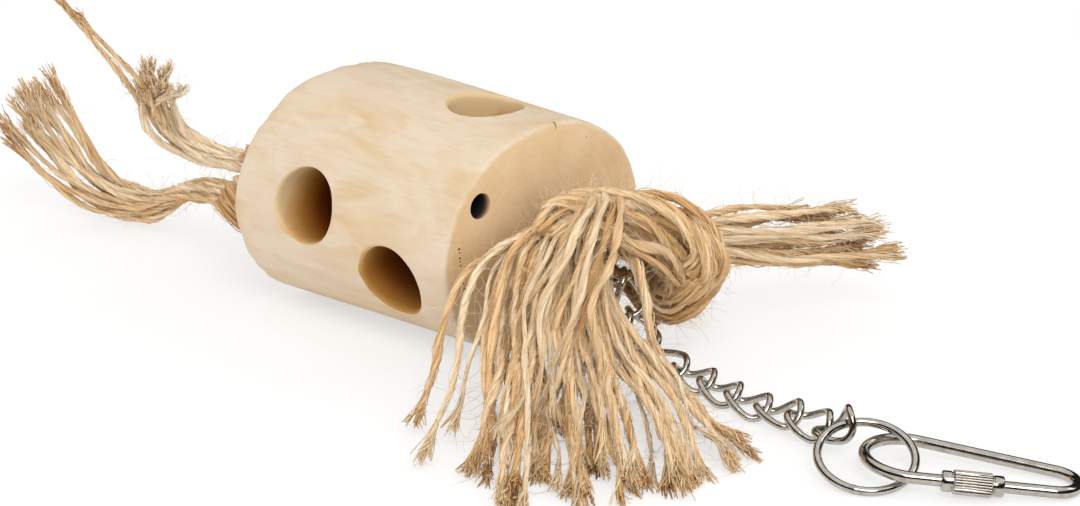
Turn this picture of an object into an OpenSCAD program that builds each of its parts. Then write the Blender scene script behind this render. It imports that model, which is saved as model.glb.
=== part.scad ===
// Hanging bird toy: a peeled log drilled with treat holes, a chain through its middle,
// a knotted bundle of jute twine at each end, a ring and a pear-shaped screw link.
// It lies on its side, with +X along the log towards the clip and the floor at z = 0.

/* [Log] */
// Length of the log along its middle
log_len = 90; // [84:1:160]
// Mean radius of the log at the clip end
log_r = 40; // [38:0.5:46]
// Mean radius of the log at the far end
log_far_r = 42; // [38:0.5:46]
// Width of the log's section over its height
log_oval = 1.15; // [1:0.01:1.2]
// Turn of the section's wide way from level, in degrees
log_turn = 6; // [0:1:10]
// Height of the knobbly waves round the section
log_wave = 0.4; // [0:0.1:1]
// Turn of the saw cuts from square, across the log, in degrees
cut_skew = 4.6; // [0:0.2:8]
// Turn of the saw cuts from square, up the log, in degrees
cut_lean = 2.4; // [0:0.2:5]
// Rounding worn on both rims
rim_round = 1.2; // [0.4:0.1:3]
// Width of the flat spot that the log lies on
rest_flat = 12; // [8:1:16]
// Wood missing from the top of the far rim
far_top_worn = 3; // [0:0.5:6]

/* [Drilled holes] */
// Radius of the treat holes
treat_r = 12; // [8:0.5:13]
// Depth of the treat holes
treat_depth = 25; // [12:1:27]
// Radius of the bore that the chain runs through
core_r = 8; // [7.5:0.25:9]
// Radius of the small hole in the clip end
peg_r = 4; // [2:0.25:5]
// Depth of the small hole
peg_depth = 34; // [10:1:36]

/* [Chain] */
// Thickness of the chain's wire
wire_d = 2.3; // [1.8:0.1:2.5]
// Outer length of a link
link_len = 17.4; // [15:0.2:18]
// Outer width of a link before it is twisted
link_w = 13.2; // [12:0.2:14]
// Twist from one end of a link to the other, in degrees
link_twist = 90; // [80:1:100]
// Play between two links
link_play = 0.4; // [0.4:0.05:0.8]

/* [Ring] */
// Outer diameter of the ring
ring_od = 30.4; // [28:0.2:34]
// Thickness of the ring's wire
ring_wire = 2.6; // [2:0.1:3]
// Tilt of the ring, far side up, in degrees
ring_tilt = 20; // [14:1:24]

/* [Screw link] */
// Thickness of the screw link's wire
clip_wire = 3.5; // [3:0.1:4]
// Radius of the wide end, to the middle of the wire
clip_wide_r = 13; // [12:0.25:15]
// Radius of the narrow end, to the middle of the wire
clip_narrow_r = 7.2; // [6:0.1:9]
// Distance between the centres of the two ends
clip_span = 40; // [36:0.5:50]
// Gap in the gate side, which the sleeve closes
gate_gap = 8; // [6:0.5:10]
// Length of the sleeve
sleeve_len = 17.5; // [14:0.5:20]
// Outer diameter of the sleeve's grooved part
sleeve_d = 7; // [6:0.1:8]
// Running clearance between sleeve and wire
sleeve_play = 0.06; // [0.02:0.01:0.1]

/* [Jute] */
// Thickness of one two-ply twine
twine_d = 2.4; // [2:0.1:2.8]
// Radius of a knotted bundle of twine
bundle_r = 7.5; // [7:0.1:8.2]
// Twines that fall in front of the log
front_twines = 24; // [12:1:28]
// Twines that point away at the clip end
side_twines = 18; // [12:1:24]
// Twines in the low group at the far end
low_twines = 14; // [10:1:18]
// Twines in the high group at the far end
high_twines = 9; // [8:1:12]

/* [Hidden] */

// Middle of the outline box, seen from the middle of the log's clip end
box_mid = [-19.1, -1.4];
$fn = 48;

wood = "#e8d4ac";
jute = "#c9a673";
steel = "#b9b5ae";

// The log's section, and the height of its middle over the floor

function section_r(a, r) =
    let (w = r * sqrt(log_oval), h = r / sqrt(log_oval), t = a - log_turn)
    w * h / norm([h * cos(t), w * sin(t)]) + log_wave * (sin(3 * a + 50) + sin(7 * a) / 2);
function flat_depth(r) = sqrt(pow(section_r(-90, r), 2) - pow(rest_flat / 2, 2));
function log_r_at(x) = log_r + (log_far_r - log_r) * -x / log_len;
function axis_z(x) = flat_depth(log_r_at(x));
function skewed(x, y, z) = x + y * tan(cut_skew) + (z - axis_z(x)) * tan(cut_lean);

// Rise of the log's middle from the clip end to the far end, in degrees
axis_rise = atan((axis_z(-log_len) - axis_z(0)) / log_len);
// How far a cut, or the chain, runs out past the wood
past = 10;

log_sides = 48;
log_steps = 6;

function log_ring(x, inset, top_inset = 0) = [
    for (j = [0:log_sides - 1])
        let (a = (j + 0.5) * 360 / log_sides,
             r = section_r(a, log_r_at(x)) - inset - top_inset * pow(max(sin(a), 0), 2),
             y = r * cos(a), z = axis_z(x) + max(r * sin(a), -flat_depth(log_r_at(x))))
        [skewed(x, y, z), y, z]
];

// Drilled holes: how far along the log, and which way they point from the middle
treat_holes = [[-62.8, 172], [-27.5, 195], [-25.8, 86], [-63, 8], [-29, -14]];
peg_place = [-28, 17];

// Curves and sweeps

function unit(v) = v / norm(v);
function mix(a, b, t) = a + (b - a) * t;
function spline_at(p, t) =
    let (n = len(p) - 1, u = t * n, i = min(floor(u), n - 1), f = u - i,
         a = p[max(i - 1, 0)], b = p[i], c = p[i + 1], d = p[min(i + 2, n)])
    (2 * b + (c - a) * f + (2 * a - 5 * b + 4 * c - d) * f * f
        + (3 * b - a - 3 * c + d) * f * f * f) / 2;
function spline(p, steps) = [for (i = [0:steps]) spline_at(p, i / steps)];
function heading(p, i) = unit(p[min(i + 1, len(p) - 1)] - p[max(i - 1, 0)]);
function ring_at(c, t, across, outline, k) =
    let (u = unit(cross(across, t)), v = cross(t, u))
    [for (q = outline) c + u * q.x * k + v * q.y * k];
function round_outline(r, sides) =
    [for (j = [0:sides - 1]) r * [cos(j * 360 / sides), sin(j * 360 / sides)]];

// A closed skin over rings of points, wound the same way
module skin(rings, closed = false) {
    s = len(rings[0]);
    n = len(rings);
    last = closed ? n - 1 : n - 2;
    walls = [for (i = [0:last], j = [0:s - 1])
        [i * s + j, ((i + 1) % n) * s + j, ((i + 1) % n) * s + (j + 1) % s, i * s + (j + 1) % s]];
    caps = closed ? [] : [[for (j = [0:s - 1]) j], [for (j = [0:s - 1]) n * s - 1 - j]];
    polyhedron(points = [for (r = rings, p = r) p], faces = concat(walls, caps));
}

// A tube along a route, thickened by k at each point
module tube(route, outline, across, k) {
    skin([for (i = [0:len(route) - 1]) ring_at(route[i], heading(route, i), across, outline, k[i])]);
}

// Solid filling of a bundle, where its twines are pressed together
module filling(route, r) {
    for (i = [0:len(route) - 2]) {
        hull() {
            translate(route[i]) sphere(r, $fn = 8);
            translate(route[i + 1]) sphere(r, $fn = 8);
        }
    }
}

// Jute

ply_lobes = 9;
knot_steps = 9;

// One stretch of a knotted bundle, with a ridge for each outer twine, that turns as it runs
module bundle(points, across, r = bundle_r) {
    route = spline(points, knot_steps);
    points_round = ply_lobes * 2;
    rings = [for (i = [0:knot_steps])
        let (outline = [for (j = [0:points_round - 1])
                let (a = j * 360 / points_round)
                r * (1 + 0.09 * cos(ply_lobes * a)) * [cos(a + i * 9), sin(a + i * 9)]])
        ring_at(route[i], heading(route, i), across, outline, 1)];
    skin(rings);
    filling(spline(points, 8), r * 0.7);
}

twine_sides = 4;

// Where a twine runs in a fan with a left, a middle and a right route: s goes from 0 to 1
function fanned(fan, k, s) =
    fan[0][k] * (1 - s) * (1 - 2 * s) + fan[1][k] * 4 * s * (1 - s) + fan[2][k] * s * (2 * s - 1);

// A fan of twines: deep is half its thickness at each point, towards up, and lift is its height over the floor
module tassel(fan, deep, up, count, seed, steps, lift = 0) {
    stops = len(fan[0]) - 1;
    across = unit(fan[0][0] - fan[2][0]);
    for (i = [0:count - 1]) {
        turn = i * 137.508;
        q = sqrt((i + 0.5) / count);
        wobble = rands(-1, 1, 3 * (stops + 1), seed + i);
        reach = 1 - 0.08 * abs(wobble[0]);
        points = [for (k = [0:stops])
            let (way = fanned(fan, k, (1 + q * cos(turn)) / 2) + up * q * sin(turn) * deep[k]
                    + [wobble[3 * k], wobble[3 * k + 1], wobble[3 * k + 2]] * k * 0.4)
            [way.x, way.y, max(way.z, twine_d * 0.7 - lift)]];
        tube([for (j = [0:steps]) spline_at(points, reach * j / steps)],
            round_outline(twine_d / 2, twine_sides), across,
            [for (j = [0:steps]) j == steps ? 1.35 : 1]);
    }
    filling([for (s = [0:0.125:1]) fanned(fan, 0, s)], root_r);
}

root_r = 4.5;

// Routes of the knots and the edges of the tassels, from the middle of the clip end's foot
near_over = [[15, -14, 43], [15, -4, 48], [24, 8, 49], [38, 17, 46], [48, 21, 37], [47, 17, 28]];
near_under = [[48, 19, 30], [45, 16, 24], [37, 17, 20], [29, 20, 24], [28, 22, 33], [33, 26, 39]];
near_root = [[10, 3, 38], [17, 9, 39], [24, 15, 37], [31, 20, 33]];
front_fan = [
    [[9, -15, 45], [3, -36, 40], [4, -51, 26], [9, -59, 12], [19, -80, 2]],
    [[17, -2, 46], [23, -16, 36], [34, -36, 22], [53, -60, 12], [75, -92, 2]],
    [[26, 6, 42], [31, -5, 27], [49, -11, 15], [76, -20, 7], [101, -32, 2]]];
side_fan = [
    [[33, 26, 42], [38, 48, 42], [41, 62, 41], [45, 77, 40]],
    [[38, 26, 38], [46, 48, 34], [53, 68, 31], [65, 90, 29]],
    [[42, 26, 32], [48, 48, 25], [56, 68, 20], [70, 92, 17]]];

// Those of the far end, from the middle of the far end face
far_over = [[-33, -20, -9.2], [-22, -18, -15.2], [-12, -8, -16.2], [-9, 6, -10.2], [-11, 10, 0.8]];
far_under = [[-9, 8, -3.2], [-14, 1, 6.8], [-20, -9, 3.8], [-34, -10, -1.2]];
low_fan = [
    [[-34, -24, -9.2], [-61, -18, -15.2], [-86, -14, -26.2], [-114, -20, -23.2], [-131, -39, -2.2]],
    [[-34, -18, -11.2], [-62, -12, -18.2], [-87, -10, -30.2], [-115, -15, -25.2], [-132, -32, 10.8]],
    [[-34, -14, -8.2], [-61, -5, -14.2], [-84, -5, -26.2], [-108, -8, -19.2], [-127, -22, 23.8]]];
long_fan = [
    [[-36, -16, -2.2], [-54, -16, -3.2], [-61, -25, 3.8], [-56, -47, 29.8], [-50, -80, 67.8]],
    [[-36, -13, -1.2], [-53, -14, -1.2], [-58, -24, 6.8], [-50, -48, 33.8], [-39, -82, 67.8]],
    [[-36, -10, -0.2], [-52, -12, -0.2], [-55, -24, 8.8], [-43, -49, 36.8], [-27, -84, 67.8]]];
tuft_fan = [
    [[-36, -16, -3.2], [-53, -18, -4.2], [-59, -26, 4.8], [-58, -36, 15.8], [-50, -44, 29.8]],
    [[-36, -12, -0.2], [-51, -14, -0.2], [-57, -23, 8.8], [-55, -31, 20.8], [-46, -40, 36.8]],
    [[-36, -8, -0.2], [-48, -11, 1.8], [-52, -20, 10.8], [-48, -26, 20.8], [-37, -32, 32.8]]];

// Chain: yaw, pitch down and roll of each link from the knot to the ring, in degrees
link_rests = [[0, 80, 0], [6.4, 56, 0], [6.7, 22, 0], [-10.7, 1.9, 0], [-14.7, 0, 0],
              [-6.6, 0, 0], [-3.6, -8.1, 6], [-13, -0.7, 18]];
link_step = link_len - 2 * wire_d - link_play;
lying = (link_w - wire_d) * 0.26 + wire_d / 2;
hanging = link_step * (sin(80) + sin(56) + sin(22));
chain_foot = [30.7, 2.95, lying + hanging];

function along(yaw, pitch) = [cos(yaw) * cos(pitch), sin(yaw) * cos(pitch), -sin(pitch)];
function joint_of(turns, i) = i == 0 ? chain_foot
    : joint_of(turns, i - 1) + link_step * along(turns[i - 1][0], turns[i - 1][1]);
function joint_point(i) = joint_of(link_turns, i);
function link_middle(i) = (joint_point(i) + joint_point(i + 1)) / 2;

// A twisted oval link along X
module twisted_link(rings, sides) {
    half = (link_len - wire_d) / 2;
    bow = (link_w - wire_d) / 2;
    flat_part = half - bow;
    course = [for (i = [0:rings - 1])
        let (a = i * 360 / rings, x = flat_part * sin(a) / max(abs(sin(a)), 0.35) + bow * sin(a),
             y = bow * cos(a), t = link_twist / 2 * x / half)
        [x, y * cos(t), y * sin(t)]];
    skin([for (i = [0:rings - 1])
        let (c = course[i], t = unit(course[(i + 1) % rings] - course[(i + rings - 1) % rings]))
        ring_at(c, t, unit([0, -c.z, c.y] + [0.001, 0, 0]), round_outline(wire_d / 2, sides), 1)],
        closed = true);
}

module chain_link(i) {
    turn = link_turns[i];
    translate(link_middle(i)) rotate([turn[2], turn[1], turn[0]]) twisted_link(18, 6);
}

// The ring lies with its near side on the floor, and the last link rises to it
ring_r = (ring_od - ring_wire) / 2;
ring_yaw = 40.2;
ring_at_link = 108;
ring_height = ring_r * sin(ring_tilt) + ring_wire / 2;
link_reach = link_step - (ring_wire + link_play) / 2;
last_rise = ring_height + ring_r * sin(ring_at_link) * sin(ring_tilt)
    - joint_of(link_rests, len(link_rests)).z;
link_turns = concat(link_rests, [[-16.1, -asin(last_rise / link_reach), 36]]);

function turned(v, roll, pitch, yaw) =
    let (a = [v.x, v.y * cos(roll) - v.z * sin(roll), v.y * sin(roll) + v.z * cos(roll)],
         b = [a.x * cos(pitch) + a.z * sin(pitch), a.y, a.z * cos(pitch) - a.x * sin(pitch)])
    [b.x * cos(yaw) - b.y * sin(yaw), b.x * sin(yaw) + b.y * cos(yaw), b.z];

link_end = joint_point(len(link_turns))
    - along(link_turns[8][0], link_turns[8][1]) * (ring_wire + link_play) / 2;
ring_middle = link_end
    - ring_r * turned([cos(ring_at_link), sin(ring_at_link), 0], ring_tilt, 0, ring_yaw);

// The screw link lies on the near side of the ring, with its narrow end on the floor
clip_yaw = 28;
clip_roll = -1;
// Middle of its wide end, seen from the ring's middle
clip_on_ring = [9.5, 8, -0.6];
clip_middle = ring_middle + clip_on_ring;
clip_pitch = asin((clip_middle.z - clip_wire / 2) / (clip_span + clip_narrow_r));
clip_taper = asin((clip_wide_r - clip_narrow_r) / clip_span);
leg_len = clip_span * cos(clip_taper);
// The legs are a hair thinner than the bends, so that they run into them cleanly
leg_r = clip_wire / 2 - 0.03;
leg_lap = 0.3;
gate_start = 12.5;
collar_len = 3;

module log() {
    span = log_len - 2 * rim_round;
    rings = concat([log_ring(-log_len, rim_round, far_top_worn),
            log_ring(-log_len + 0.3 * rim_round, 0.3 * rim_round, far_top_worn * 0.75)],
        [for (i = [0:log_steps])
            log_ring(-log_len + rim_round + span * i / log_steps, 0, far_top_worn * pow(0.36, i + 0.6))],
        [log_ring(-0.3 * rim_round, 0.3 * rim_round), log_ring(0, rim_round)]);
    color(wood) difference() {
        skin(rings);
        for (h = treat_holes) {
            translate([h[0], 0, axis_z(h[0])]) rotate([h[1] - 90, 0, 0])
                translate([0, 0, section_r(h[1], log_r_at(h[0])) - treat_depth])
                cylinder(h = treat_depth + past, r = treat_r);
        }
        translate([0, 0, axis_z(0)]) rotate([0, axis_rise - 90, 0])
            translate([0, 0, -past]) cylinder(h = log_len + 2 * past, r = core_r);
        translate([skewed(0, peg_place[0], axis_z(0) + peg_place[1]) - peg_depth,
                   peg_place[0], axis_z(0) + peg_place[1]])
            rotate([0, 90, 0]) cylinder(h = peg_depth + past, r = peg_r);
    }
}

module clip_end_knot() {
    color(jute) union() {
        bundle(near_over, [1, 0, 0.2]);
        bundle(near_under, [0, 1, 0.3], bundle_r * 0.92);
        bundle(near_root, [0, 0.3, 1], bundle_r * 0.8);
    }
}

module front_tassel() {
    color(jute) tassel(front_fan, [4, 5, 6, 6, 4], [0.3, -0.3, 0.9], front_twines, 11, 7);
}

module side_tassel() {
    color(jute) tassel(side_fan, [5, 6, 7, 9], [0.8, 0, 0.6], side_twines, 47, 5);
}

// Places its children at the middle of the far end face
module at_far_end() {
    translate([-log_len, 0, axis_z(-log_len)]) children();
}

module far_knot() {
    color(jute) at_far_end() union() {
        bundle(far_over, [1, 0, 0.3]);
        bundle(far_under, [0, 1, 0.3], bundle_r * 0.92);
    }
}

module low_tassel() {
    color(jute) at_far_end()
        tassel(low_fan, [4, 5, 6, 8, 9], [0.2, 0.6, 0.77], low_twines, 83, 7, axis_z(-log_len));
}

module high_tassel() {
    color(jute) at_far_end() union() {
        tassel(long_fan, [1, 1, 1, 1, 1], [0, 0.8, 0.6], 2, 137, 8);
        tassel(tuft_fan, [3, 3, 4, 4, 6], [0, 0.8, 0.6], high_twines - 2, 131, 6);
    }
}

// Links inside the log and both knots, which hold the knots to the chain
core_turns = concat([[200, -50], [182, 9]],
    [for (i = [1:ceil((log_len + 2 * past) / link_step)]) [180, -axis_rise]]);

module core_chain() {
    color(steel) for (i = [0:len(core_turns) - 1]) {
        translate((joint_of(core_turns, i) + joint_of(core_turns, i + 1)) / 2)
            rotate([0, core_turns[i][1], core_turns[i][0]]) twisted_link(10, 4);
    }
}

module link_1() { color(steel) chain_link(0); }
module link_2() { color(steel) chain_link(1); }
module link_3() { color(steel) chain_link(2); }
module link_4() { color(steel) chain_link(3); }
module link_5() { color(steel) chain_link(4); }
module link_6() { color(steel) chain_link(5); }
module link_7() { color(steel) chain_link(6); }
module link_8() { color(steel) chain_link(7); }
module link_9() { color(steel) chain_link(8); }

module ring() {
    color(steel) translate(ring_middle) rotate([ring_tilt, 0, ring_yaw])
        rotate_extrude() translate([ring_r, 0]) circle(ring_wire / 2);
}

// Places its children in the screw link's own frame: X from the wide to the narrow end
module in_clip() {
    translate(clip_middle) rotate([clip_roll, clip_pitch, clip_yaw]) children();
}

// Places its children at the wide end of a leg, with X along the leg: side is 1 or -1
module on_leg(side) {
    rotate([0, 0, side * (90 - clip_taper)]) translate([clip_wide_r, 0, 0])
        rotate([0, 0, -side * 90]) children();
}

module wire_along_x(from, to) {
    translate([from, 0, 0]) rotate([0, 90, 0]) cylinder(h = to - from, r = leg_r);
}

module screw_link() {
    bend = 90 - clip_taper;
    color(steel) in_clip() {
        rotate([0, 0, bend]) rotate_extrude(angle = 360 - 2 * bend)
            translate([clip_wide_r, 0]) circle(clip_wire / 2);
        translate([clip_span, 0, 0]) rotate([0, 0, -bend]) rotate_extrude(angle = 2 * bend)
            translate([clip_narrow_r, 0]) circle(clip_wire / 2);
        on_leg(1) wire_along_x(-leg_lap, leg_len + leg_lap);
        on_leg(-1) {
            wire_along_x(-leg_lap, gate_start);
            wire_along_x(gate_start + gate_gap, leg_len + leg_lap);
        }
    }
}

module sleeve() {
    grooves = 22;
    reach = (sleeve_len - gate_gap) / 2;
    color(steel) in_clip() on_leg(-1) translate([gate_start - reach, 0, 0]) rotate([0, 90, 0])
        difference() {
            union() {
                cylinder(h = sleeve_len, d = sleeve_d - 0.9);
                translate([0, 0, collar_len]) cylinder(h = sleeve_len - 2 * collar_len, d = sleeve_d);
            }
            translate([0, 0, -1]) cylinder(h = sleeve_len + 2, r = leg_r + sleeve_play);
            for (i = [0:grooves - 1]) {
                rotate([0, 0, i * 360 / grooves]) translate([sleeve_d / 2, 0, collar_len + 0.5])
                    rotate([0, 0, 45]) cube([0.5, 0.5, 2 * (sleeve_len - 2 * collar_len - 1)], center = true);
            }
        }
}

module placed() {
    translate([-box_mid.x, -box_mid.y, 0]) children();
}

placed() log();
placed() clip_end_knot();
placed() front_tassel();
placed() side_tassel();
placed() far_knot();
placed() low_tassel();
placed() high_tassel();
placed() core_chain();
placed() link_1();
placed() link_2();
placed() link_3();
placed() link_4();
placed() link_5();
placed() link_6();
placed() link_7();
placed() link_8();
placed() link_9();
placed() ring();
placed() screw_link();
placed() sleeve();
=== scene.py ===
import math
import bpy
import numpy as np
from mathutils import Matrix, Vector


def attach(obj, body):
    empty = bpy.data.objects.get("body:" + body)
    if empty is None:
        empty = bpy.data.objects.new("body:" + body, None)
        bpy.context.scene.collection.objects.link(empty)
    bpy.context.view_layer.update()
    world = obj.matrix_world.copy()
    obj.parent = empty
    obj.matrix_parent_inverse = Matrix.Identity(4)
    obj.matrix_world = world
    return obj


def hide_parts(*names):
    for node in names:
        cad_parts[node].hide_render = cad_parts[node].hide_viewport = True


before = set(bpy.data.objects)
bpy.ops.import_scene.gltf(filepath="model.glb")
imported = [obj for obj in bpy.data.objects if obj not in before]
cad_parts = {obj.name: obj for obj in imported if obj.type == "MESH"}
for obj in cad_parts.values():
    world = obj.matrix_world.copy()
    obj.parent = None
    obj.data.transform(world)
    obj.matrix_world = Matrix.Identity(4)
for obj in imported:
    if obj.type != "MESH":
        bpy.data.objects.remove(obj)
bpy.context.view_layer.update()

# Lengths below are millimetres from the foot of the log's clip end, as in the part's source.
originShift = np.array([19.1, 1.4, 0.0])


def toFrame(points):
    return (np.asarray(points, float) + originShift) / 1000


# Camera, light and floor

view = {"place": (504.3, -572.8, 311.2), "target": (19.1, 1.36, 37.6), "lens": 84.57,
        "shift": (-0.0027, -0.0165)}


def addCamera():
    data = bpy.data.cameras.new("camera")
    data.lens = view["lens"]
    data.sensor_width = 36
    data.shift_x, data.shift_y = view["shift"]
    data.clip_end = 20
    camera = bpy.data.objects.new("camera", data)
    camera.location = Vector(view["place"]) / 1000
    heading = Vector(view["target"]) - Vector(view["place"])
    camera.rotation_euler = heading.to_track_quat("-Z", "Y").to_euler()
    bpy.context.scene.collection.objects.link(camera)
    bpy.context.scene.camera = camera


addCamera()
bpy.context.scene.view_settings.view_transform = "Standard"
print("camera set")


def srgb(code):
    parts = [int(code[i:i + 2], 16) / 255 for i in (1, 3, 5)]
    return tuple(p / 12.92 if p < 0.04045 else ((p + 0.055) / 1.055) ** 2.4 for p in parts) + (1,)


def addNode(tree, kind, inputs=None, stops=None, **settings):
    # A node given as an input stands for its first output
    node = tree.nodes.new("ShaderNode" + kind)
    for key, value in settings.items():
        setattr(node, key, value)
    for key, value in (inputs or {}).items():
        value = value.outputs[0] if isinstance(value, bpy.types.Node) else value
        if isinstance(value, bpy.types.NodeSocket):
            tree.links.new(value, node.inputs[key])
        else:
            node.inputs[key].default_value = value
    if stops:
        ramp = node.color_ramp
        while len(ramp.elements) < len(stops):
            ramp.elements.new(0.5)
        for element, (position, code) in zip(ramp.elements, stops):
            element.position = position
            element.color = srgb(code)
    return node


def newMaterial(name):
    material = bpy.data.materials.new(name)
    material.use_nodes = True
    material.node_tree.nodes.clear()
    return material, material.node_tree


def finishMaterial(tree, inputs):
    shader = addNode(tree, "BsdfPrincipled", inputs)
    addNode(tree, "OutputMaterial", {"Surface": shader})


studio = {"skyLight": 0.9, "keyWatts": 11, "keyPlace": (0.95, -0.9, 1.25), "keySize": 0.8,
          "rimWatts": 1.5, "rimPlace": (0.9, 0.9, 1.1), "rimSize": 0.5, "aimHeight": 0.04,
          "floorHalf": 3, "floorShare": 0.6, "wallRadius": 1.6, "wallHeights": (0.0, 1.5), "wallSides": 64}


def backdropRays(tree):
    # 1 where the camera, or a reflection, looks straight at the backdrop
    path = addNode(tree, "LightPath")
    mirrored = addNode(tree, "Math", {0: path.outputs["Is Glossy Ray"],
                                      1: path.outputs["Is Transmission Ray"]}, operation="MAXIMUM")
    return addNode(tree, "Math", {0: path.outputs["Is Camera Ray"], 1: mirrored}, operation="MAXIMUM")


def addLamp(name):
    place = studio[name + "Place"]
    lamp = bpy.data.lights.new(name, "AREA")
    lamp.energy = studio[name + "Watts"]
    lamp.size = studio[name + "Size"]
    light = bpy.data.objects.new(name, lamp)
    light.location = place
    heading = Vector((0, 0, studio["aimHeight"])) - Vector(place)
    light.rotation_euler = heading.to_track_quat("-Z", "Y").to_euler()
    bpy.context.scene.collection.objects.link(light)


def addSky():
    world = bpy.data.worlds.new("studio")
    bpy.context.scene.world = world
    world.use_nodes = True
    tree = world.node_tree
    tree.nodes.clear()
    strength = addNode(tree, "MapRange",
                       {"Value": backdropRays(tree), "To Min": studio["skyLight"], "To Max": 1.0})
    sky = addNode(tree, "Background", {"Color": (1, 1, 1, 1), "Strength": strength})
    addNode(tree, "OutputWorld", {"Surface": sky})


def addFloor():
    # Matt white paper floor: reads as plain white, and keeps the soft shadow
    paper, tree = newMaterial("matt white paper")
    seen = addNode(tree, "Math", {0: backdropRays(tree), 1: studio["floorShare"]}, operation="MULTIPLY")
    diffuse = addNode(tree, "BsdfDiffuse", {"Color": srgb("#fbfaf9")})
    white = addNode(tree, "Emission", {"Color": (1, 1, 1, 1), "Strength": 1.0})
    both = addNode(tree, "MixShader", {0: seen, 1: diffuse, 2: white})
    addNode(tree, "OutputMaterial", {"Surface": both})
    half = studio["floorHalf"]
    corners = [(-half, -half, 0), (half, -half, 0), (half, half, 0), (-half, half, 0)]
    floor = meshPiece("floor", corners, [(0, 1, 2, 3)], material=paper)


def addWall():
    # A low black wall round the set, which only the bright metal shows
    black, tree = newMaterial("black flag cloth")
    finishMaterial(tree, {"Base Color": srgb("#161514"), "Roughness": 0.9})
    n = studio["wallSides"]
    foot = onCircle(roundTurn(n)) * studio["wallRadius"]
    rings = [np.column_stack([foot, np.full(n, z)]) for z in studio["wallHeights"]]
    quads = ringQuads(np.arange(n), n + np.arange(n))
    wall = meshPiece("flag_wall", np.concatenate(rings), quads, material=black)
    wall.visible_camera = wall.visible_diffuse = wall.visible_shadow = False


# Mesh making

def roundTurn(count):
    return np.arange(count) * 2 * math.pi / count


def onCircle(angles):
    return np.stack([np.cos(angles), np.sin(angles)], 1)


def ringQuads(near, far):
    # Faces between closed rings of points
    return np.stack([near, np.roll(near, -1, -1), np.roll(far, -1, -1), far], -1).reshape(-1, 4)


def meshPiece(name, points, quads=(), tris=(), material=None, smooth=False, values=None):
    quads = np.asarray(quads, int).reshape(-1, 4)
    tris = np.asarray(tris, int).reshape(-1, 3)
    mesh = bpy.data.meshes.new(name)
    mesh.vertices.add(len(points))
    mesh.vertices.foreach_set("co", np.asarray(points, np.float32).ravel())
    loops = np.concatenate([quads.ravel(), tris.ravel()])
    mesh.loops.add(len(loops))
    mesh.loops.foreach_set("vertex_index", loops.astype(np.int32))
    starts = np.concatenate([np.arange(len(quads)) * 4, len(quads) * 4 + np.arange(len(tris)) * 3])
    mesh.polygons.add(len(starts))
    mesh.polygons.foreach_set("loop_start", starts.astype(np.int32))
    mesh.polygons.foreach_set("use_smooth", np.full(len(starts), smooth))
    mesh.update(calc_edges=True)
    mesh.validate()
    for key, data in (values or {}).items():
        data = np.asarray(data, np.float32)
        kind = "FLOAT" if data.ndim == 1 else "FLOAT_VECTOR"
        layer = mesh.attributes.new(key, kind, "POINT")
        layer.data.foreach_set("value" if data.ndim == 1 else "vector", data.ravel())
    if material:
        mesh.materials.append(material)
    piece = bpy.data.objects.new(name, mesh)
    bpy.context.scene.collection.objects.link(piece)
    return piece


def unit(v):
    return v / np.maximum(np.linalg.norm(v, axis=-1, keepdims=True), 1e-9)


def curveThrough(points, t):
    # Catmull-Rom through the points, at shares t of the way
    p = np.asarray(points, float)
    last = len(p) - 1
    i = np.minimum(np.floor(t * last).astype(int), last - 1)
    f = (t * last - i)[:, None]
    a, b, c, d = p[np.maximum(i - 1, 0)], p[i], p[i + 1], p[np.minimum(i + 2, last)]
    return (2 * b + (c - a) * f + (2 * a - 5 * b + 4 * c - d) * f ** 2 + (3 * b - a - 3 * c + d) * f ** 3) / 2


def evenly(path, step):
    gaps = np.linalg.norm(np.diff(path, axis=0), axis=1)
    way = np.concatenate([[0], np.cumsum(gaps)])
    marks = np.linspace(0, way[-1], max(int(way[-1] / step) + 1, 4))
    return np.stack([np.interp(marks, way, path[:, k]) for k in range(3)], 1), marks


def squared(u, heading):
    return unit(u - (u * heading).sum(-1, keepdims=True) * heading)


def framesAlong(paths, closed=False):
    # Two directions across each path that turn as little as they can
    if closed:
        headings = unit(np.roll(paths, -1, 1) - np.roll(paths, 1, 1))
    else:
        headings = unit(np.gradient(paths, axis=1))
    u = np.cross(headings[:, 0], [0.31, 0.17, 0.93])
    sides = np.empty_like(paths)
    for j in range(paths.shape[1]):
        u = squared(u, headings[:, j])
        sides[:, j] = u
    ups = np.cross(headings, sides)
    if closed:
        end = squared(u, headings[:, 0])
        slip = np.arctan2((end * ups[:, 0]).sum(-1), (end * sides[:, 0]).sum(-1))
        turn = -slip[:, None, None] * (np.arange(paths.shape[1]) / paths.shape[1])[None, :, None]
        sides, ups = sides * np.cos(turn) + ups * np.sin(turn), ups * np.cos(turn) - sides * np.sin(turn)
    return sides, ups


def sweepTubes(paths, radii, count, closed=False):
    # Round tubes with count sides along k paths of n points each
    k, n = paths.shape[:2]
    sides, ups = framesAlong(paths, closed)
    a = roundTurn(count)
    ring = np.cos(a)[:, None] * sides[:, :, None] + np.sin(a)[:, None] * ups[:, :, None]
    points = (paths[:, :, None] + radii[:, :, None, None] * ring).reshape(-1, 3)
    index = np.arange(k * n * count).reshape(k, n, count)
    near, far = (index, np.roll(index, -1, 1)) if closed else (index[:, :-1], index[:, 1:])
    tris = []
    if not closed:
        for j in range(1, count - 1):
            tris.append(index[:, 0][:, [0, j + 1, j]])
            tris.append(index[:, -1][:, [0, j, j + 1]])
    return points, ringQuads(near, far), np.concatenate(tris) if tris else np.zeros((0, 3), int)


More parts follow.
